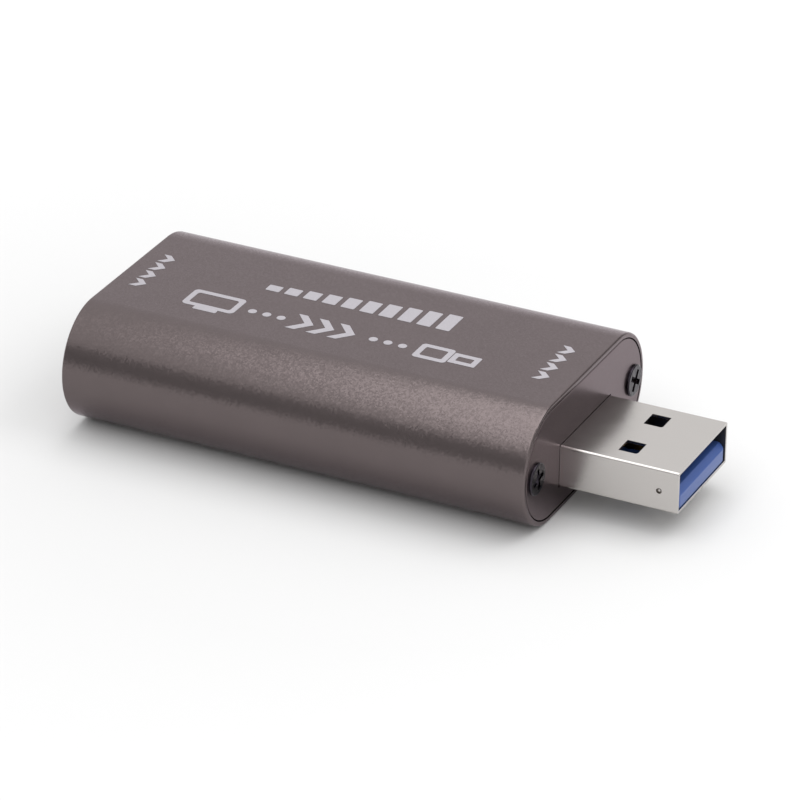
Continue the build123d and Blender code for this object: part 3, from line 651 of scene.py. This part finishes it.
# Solder mask is a glossy green lacquer, and the sawn edge shows dull straw-coloured
# laminate. Tin is pale and bright.
board_green = moulded("green solder mask", "#1d5a33", 0.3, 0.5 * mm)
laminate = moulded("bare glass laminate", "#b7b184", 0.6, 0.1 * mm)
tin = plain_metal("tinned copper", "#c9c9c6", 0.24, 0.36, 0.2 * mm)
board = merged("laminate_board", "main_board")
settle(board, board_green, "green_board", "main_board")
second_material(board, laminate, lambda c: board_low.z + lead_margin < c.z < board_high.z - lead_margin)

# Moulded epoxy is a dull even black.
package = moulded("moulded black epoxy", "#1b1b1d", 0.6, 0.1 * mm)
for node_name, name, reach in (
        ("capture_chip", "square_chip", (1.0, 1.0)), ("memory_chip", "narrow_chip", (0, 1.05)),
        ("voltage_regulator", "small_chip", (0, 0.6)), ("surge_arrays", "flat_chips", (0.3, 0))):
    chip = merged(name, node_name)
    low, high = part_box(node_name)
    low += Vector((*reach, 0)) * mm
    high -= Vector((*reach, 0)) * mm
    settle(chip, package, "chip_package", node_name)
    second_material(chip, tin, lambda c: not (low.x - lead_margin < c.x < high.x + lead_margin
                                              and low.y - lead_margin < c.y < high.y + lead_margin))

# The crystal's lid is plain warm metal on a tray of dull grey ceramic.
can = plain_metal("crystal lid metal", "#c4beb0", 0.24, 0.36, 0.2 * mm)
tray_grey = moulded("grey ceramic", "#6f6d68", 0.55, 0.1 * mm)
lidded = merged("lidded_crystal", "crystal")
tray_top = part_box("crystal")[0].z + tray_height
settle(lidded, can, "crystal_can", "crystal")
second_material(lidded, tray_grey, lambda c: c.z < tray_top - lead_margin)

# Pressed ferrite is a dull, slightly gritty dark grey.
ferrite = moulded("grey ferrite", "#3a3b3e", 0.7, 0.08 * mm)
coil = merged("ferrite_coil", "power_inductor")
bevel_edges(coil, lambda a, b: True, coil_round, 3)
settle(coil, ferrite, "inductor_core", "power_inductor")

# Capacitors are fired ceramic, tan and smooth. Resistors have a black glassy glaze.
ceramic = moulded("tan ceramic", "#b39a78", 0.5, 0.1 * mm)
glaze = moulded("black glaze", "#18181a", 0.25, 0.2 * mm)
for node_name, name, material, slot in (
        ("ceramic_capacitors", "tan_capacitors", ceramic, "ceramic_tan"),
        ("chip_resistors", "black_resistors", glaze, "resistor_black")):
    blocks = merged(name, node_name)
    bevel_edges(blocks, lambda a, b: True, block_round, 2)
    bpy.ops.object.mode_set(mode="EDIT")
    bpy.ops.mesh.separate(type="LOOSE")
    bpy.ops.object.mode_set(mode="OBJECT")
    parts = list(bpy.context.selected_objects)
    middles = []
    for part in parts:
        xs = [vertex.co.x for vertex in part.data.vertices]
        ys = [vertex.co.y for vertex in part.data.vertices]
        middles.append(((min(xs) + max(xs)) / 2, (min(ys) + max(ys)) / 2, (max(xs) - min(xs)) / 2))
    blocks = joined(name, parts)
    settle(blocks, material, slot, node_name)
    second_material(blocks, tin, lambda c: any(
        abs(c.y - y) < block_reach and half - end_length < abs(c.x - x) < half + lead_margin
        for x, y, half in middles))

# Printed marks: screen-printed pale ink on the broad face. Arrowheads at both
# ends point from the video socket to the plug, with a row of rising level bars
# and a plain screen and plug between them.
ink_low_z = shell_high.z - ink_thickness
ink_stroke = 0.6 * mm
bar_count = 10
bar_pitch = 2.1 * mm
bar_width = 1.5 * mm
bar_corner = 0.12 * mm
bar_rise = 0.25 * mm
first_bar_x = -16.0 * mm
first_bar_height = 1.2 * mm
bar_foot_y = 1.5 * mm
row_y = -3.4 * mm
dot_size = 0.9 * mm
dot_corner = 0.44 * mm
dot_places = (-15.6, -14.0, -12.4, -2.2, -0.6, 1.0)
row_arrow_places = (-10.7, -8.4, -6.1)
end_arrow_places = [(x, row * 2.0 - 2.9) for x in (-29.1, 15.4) for row in range(4)]


def upright(a, b):
    """Whether an edge runs through the thickness of the ink."""
    return abs(a.z - b.z) > ink_thickness / 2


def ink_bar(x, y, width, height, corner=bar_corner):
    """A printed bar round a middle, with its corners rounded."""
    bar = block("bar", (x - width / 2, y - height / 2, ink_low_z),
                (x + width / 2, y + height / 2, shell_high.z))
    bevel_edges(bar, upright, corner, 4)
    return bar


def ink_outline(x, y, width, height, corner):
    """A printed outline of a rounded bar."""
    outline = ink_bar(x, y, width, height, corner)
    inner_x, inner_y = width / 2 - ink_stroke, height / 2 - ink_stroke
    hole = block("hole", (x - inner_x, y - inner_y, ink_low_z - cut_overrun),
                 (x + inner_x, y + inner_y, shell_high.z + cut_overrun))
    bevel_edges(hole, upright, corner / 2, 3)
    cut(outline, hole)
    return outline


def ink_arrowhead(reach, height, thick):
    """A printed arrowhead: an upright bar whose middle is pushed towards the plug."""
    mark = block("arrowhead", (-thick / 2, -height / 2, ink_low_z), (thick / 2, height / 2, shell_high.z))
    bpy.ops.object.mode_set(mode="EDIT")
    bpy.ops.mesh.select_all(action="SELECT")
    bpy.ops.mesh.subdivide(number_cuts=1)
    bpy.ops.mesh.select_mode(type="VERT")
    bpy.ops.mesh.select_all(action="DESELECT")
    mesh = bmesh.from_edit_mesh(mark.data)
    for vertex in mesh.verts:
        vertex.select_set(abs(vertex.co.y) < same_place)
    bmesh.update_edit_mesh(mark.data)
    bpy.ops.transform.translate(value=(reach, 0, 0))
    bpy.ops.object.mode_set(mode="OBJECT")
    return mark


end_arrow = ink_arrowhead(0.8 * mm, 1.6 * mm, 0.8 * mm)
marks = [copied(end_arrow, (0, 0, 0), (x * mm, y * mm, 0)) for x, y in end_arrow_places]
bpy.data.objects.remove(end_arrow)
for step in range(bar_count):
    height = first_bar_height + step * bar_rise
    marks.append(ink_bar(first_bar_x + step * bar_pitch, bar_foot_y + height / 2, bar_width, height))
dot = ink_bar(0, 0, dot_size, dot_size, dot_corner)
marks += [copied(dot, (0, 0, 0), (x * mm, row_y, 0)) for x in dot_places]
bpy.data.objects.remove(dot)
row_arrow = ink_arrowhead(1.4 * mm, 3.2 * mm, 1.0 * mm)
marks += [copied(row_arrow, (0, 0, 0), (x * mm, row_y, 0)) for x in row_arrow_places]
bpy.data.objects.remove(row_arrow)
# The screen and its foot, and the plug's grip and its tip.
marks += [ink_outline(-20.0 * mm, row_y + 0.2 * mm, 5.8 * mm, 3.4 * mm, 0.5 * mm),
          ink_bar(-20.0 * mm, row_y - 1.8 * mm, 2.6 * mm, ink_stroke),
          ink_outline(4.4 * mm, row_y, 3.6 * mm, 3.0 * mm, 0.4 * mm),
          ink_outline(7.75 * mm, row_y, 2.9 * mm, 2.1 * mm, 0.15 * mm)]
printed_marks = joined("printed_marks", marks)
# Screen ink hides the metal's shine under a slightly matt film, which is a trace
# uneven over the pores of the mesh that it was pressed through.
ink, tree = new_material("screen-printed silver-white ink")
place = add_node(tree, "ShaderNodeTexCoord").outputs["Object"]
pores = add_node(tree, "ShaderNodeTexNoise", {"Vector": place, "Scale": 1 / (0.14 * mm), "Detail": 2.0})
cover = add_node(tree, "ShaderNodeMapRange",
                 {"Value": pores.outputs["Fac"], "From Min": 0.3, "From Max": 0.7,
                  "To Min": 0.93, "To Max": 1.04})
paint = add_node(tree, "ShaderNodeVectorMath", {0: linear("#a29ea4")[:3], "Scale": cover.outputs["Result"]},
                 operation="SCALE")
bump = add_node(tree, "ShaderNodeBump", {"Height": pores.outputs["Fac"], "Distance": 0.01 * mm})
film = add_node(tree, "ShaderNodeBsdfPrincipled", {"Base Color": paint.outputs["Vector"], "Roughness": 0.45,
                                                   "IOR": 1.5, "Normal": bump.outputs["Normal"]})
add_node(tree, "ShaderNodeOutputMaterial", {"Surface": film.outputs[0]})
settle(printed_marks, ink, "anodised_body")
